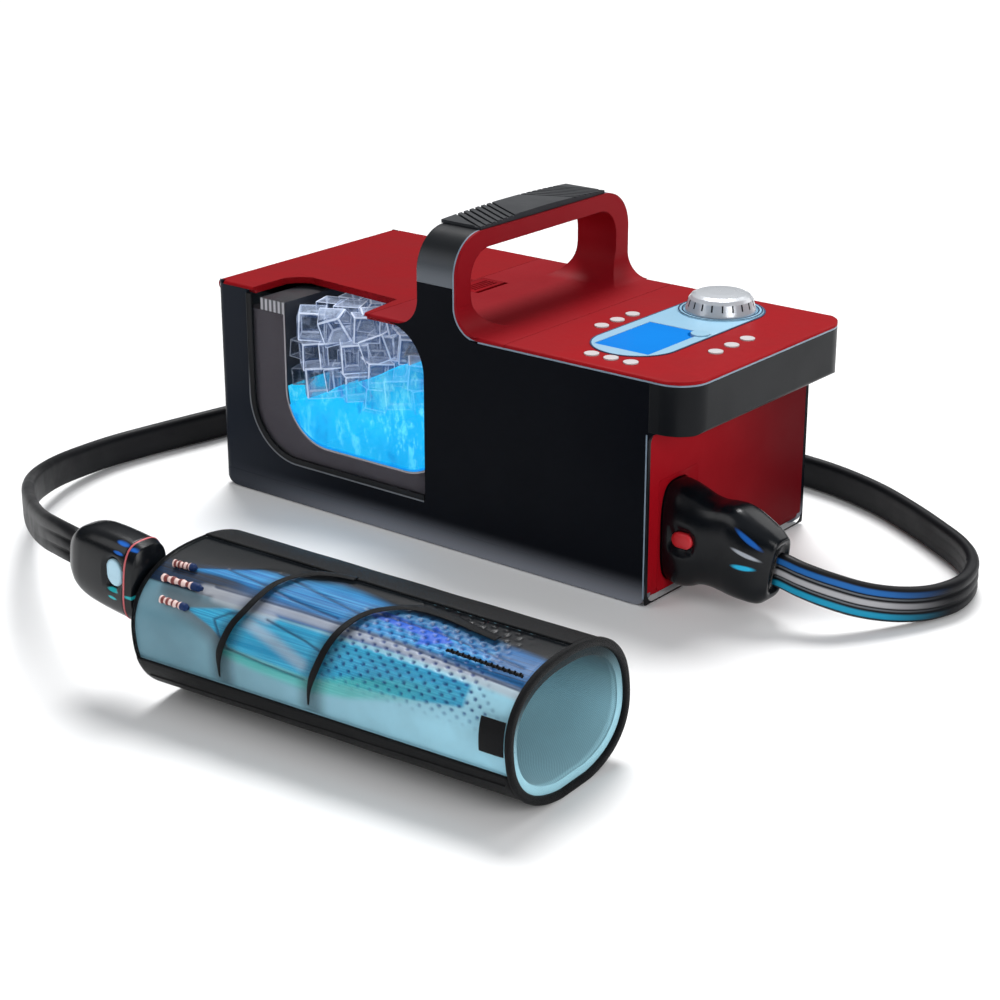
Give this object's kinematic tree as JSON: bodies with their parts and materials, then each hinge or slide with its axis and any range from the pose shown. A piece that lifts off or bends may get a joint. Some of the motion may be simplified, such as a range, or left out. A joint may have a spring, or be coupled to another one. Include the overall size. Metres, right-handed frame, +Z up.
{
  "type": "hot cold therapy machine",
  "caption": "Portable thermal compression unit with ice reservoir, hinged lid, carrying handle, knob and keys, joined by a flat three-tube hose to a tube-shaped limb sleeve.",
  "frame": {"origin": "on the floor under the middle of the control unit and sleeve together, seen from above", "axes": "+X towards the control deck end of the unit, +Y towards the unit's far side, away from the sleeve, +Z up"},
  "size_m": [0.6446, 0.5809, 0.2264],
  "materials": {
    "black_gloss": "gloss",
    "red_shell": "gloss",
    "red_face": "satin",
    "bead": "satin",
    "grip_rubber": "matt",
    "feet_rubber": "matt",
    "gasket": "matt",
    "steel": "satin",
    "foam": "matt",
    "liner": "satin",
    "clear_panel": "clear",
    "water": "clear",
    "ice": "clear",
    "white_plastic": "satin",
    "pump_plastic": "satin",
    "impeller": "satin",
    "motor": "satin",
    "tubes": "satin",
    "board": "satin",
    "pale_plate": "satin",
    "display": "gloss",
    "silver_knob": "satin",
    "dark_plastic": "satin",
    "release_red": "gloss",
    "release_pale": "gloss",
    "hose": "satin",
    "fabric_black": "matt",
    "clear_film": "satin",
    "bladder": "satin",
    "lining": "matt",
    "bands": "matt"
  },
  "bodies": {
    "machine": {"base_pan": "black_gloss", "side_shell_near": "black_gloss", "side_shell_far": "black_gloss", "rear_panel": "black_gloss", "front_panel": "red_face", "top_cover": "red_shell", "handle_band": "black_gloss", "handle_grip": "grip_rubber", "control_cover": "red_shell", "front_band": "black_gloss", "edge_bead": "bead", "hinge_pin": "steel", "insulation": "foam", "tank_liner": "liner", "side_window": "clear_panel", "water": "water", "ice_cubes": "ice", "intake_filter": "white_plastic", "water_pump": "pump_plastic", "pump_motor": "motor", "air_pump": "pump_plastic", "valve_block": "pump_plastic", "inner_tubes": "tubes", "control_board": "board", "display_plate": "pale_plate", "lcd_module": "display", "power_inlet": "dark_plastic", "rubber_feet": "feet_rubber", "housing_screws": "steel", "hose_socket": "dark_plastic", "unit_plug": "black_gloss", "hose": "hose", "wrap_plug": "black_gloss", "wrap_plug_ring": "release_red", "wrap_socket": "dark_plastic", "wrap_sleeve": "fabric_black", "wrap_window": "clear_film", "wrap_bladder": "bladder", "wrap_lining": "lining", "wrap_rims": "fabric_black", "wrap_bands": "bands", "wrap_label": "bands"},
    "lid": {"lid": "red_shell", "lid_gasket": "gasket"},
    "latch": {"latch_button": "red_face"},
    "knob_body": {"knob": "silver_knob"},
    "select_body": {"select_button": "pale_plate"},
    "unit_release_body": {"unit_release": "release_red"},
    "wrap_release_body": {"wrap_release": "release_pale"},
    "impeller_body": {"pump_impeller": "impeller"},
    "button_body_1": {"button_1": "white_plastic"},
    "button_body_2": {"button_2": "white_plastic"},
    "button_body_3": {"button_3": "white_plastic"},
    "button_body_4": {"button_4": "white_plastic"},
    "button_body_5": {"button_5": "white_plastic"},
    "button_body_6": {"button_6": "white_plastic"},
    "button_body_7": {"button_7": "white_plastic"},
    "button_body_8": {"button_8": "white_plastic"},
    "button_body_9": {"button_9": "white_plastic"}
  },
  "joints": [
    {"name": "lid_hinge", "type": "hinge", "parent": "machine", "child": "lid", "pos_m": [-0.24733, 0.155, 0.153], "axis": [0, -1, 0], "range_deg": [0, 100]},
    {"name": "latch_slide", "type": "slide", "parent": "machine", "child": "latch", "axis": [1, 0, 0], "range_m": [0, 0.003], "stiffness_N_per_m": 300},
    {"name": "knob_turn", "type": "hinge", "parent": "machine", "child": "knob_body", "pos_m": [0.08217, 0.214, 0.1575], "axis": [0, 0, 1], "continuous": true},
    {"name": "button_1_press", "type": "slide", "parent": "machine", "child": "button_body_1", "axis": [0, 0, -1], "range_m": [0, 0.0008], "stiffness_N_per_m": 500},
    {"name": "button_2_press", "type": "slide", "parent": "machine", "child": "button_body_2", "axis": [0, 0, -1], "range_m": [0, 0.0008], "stiffness_N_per_m": 500},
    {"name": "button_3_press", "type": "slide", "parent": "machine", "child": "button_body_3", "axis": [0, 0, -1], "range_m": [0, 0.0008], "stiffness_N_per_m": 500},
    {"name": "button_4_press", "type": "slide", "parent": "machine", "child": "button_body_4", "axis": [0, 0, -1], "range_m": [0, 0.0008], "stiffness_N_per_m": 500},
    {"name": "button_5_press", "type": "slide", "parent": "machine", "child": "button_body_5", "axis": [0, 0, -1], "range_m": [0, 0.0008], "stiffness_N_per_m": 500},
    {"name": "button_6_press", "type": "slide", "parent": "machine", "child": "button_body_6", "axis": [0, 0, -1], "range_m": [0, 0.0008], "stiffness_N_per_m": 500},
    {"name": "button_7_press", "type": "slide", "parent": "machine", "child": "button_body_7", "axis": [0, 0, -1], "range_m": [0, 0.0008], "stiffness_N_per_m": 500},
    {"name": "button_8_press", "type": "slide", "parent": "machine", "child": "button_body_8", "axis": [0, 0, -1], "range_m": [0, 0.0008], "stiffness_N_per_m": 500},
    {"name": "button_9_press", "type": "slide", "parent": "machine", "child": "button_body_9", "axis": [0, 0, -1], "range_m": [0, 0.0008], "stiffness_N_per_m": 500},
    {"name": "select_press", "type": "slide", "parent": "machine", "child": "select_body", "axis": [0, 0, -1], "range_m": [0, 0.0008], "stiffness_N_per_m": 500},
    {"name": "unit_release_press", "type": "slide", "parent": "machine", "child": "unit_release_body", "axis": [0, 1, 0], "range_m": [0, 0.0015], "stiffness_N_per_m": 600},
    {"name": "wrap_release_press", "type": "slide", "parent": "machine", "child": "wrap_release_body", "axis": [0, 1, 0], "range_m": [0, 0.0015], "stiffness_N_per_m": 600},
    {"name": "impeller_spin", "type": "hinge", "parent": "machine", "child": "impeller_body", "pos_m": [0.04817, 0.161, 0.038], "axis": [1, 0, 0], "continuous": true}
  ]
}
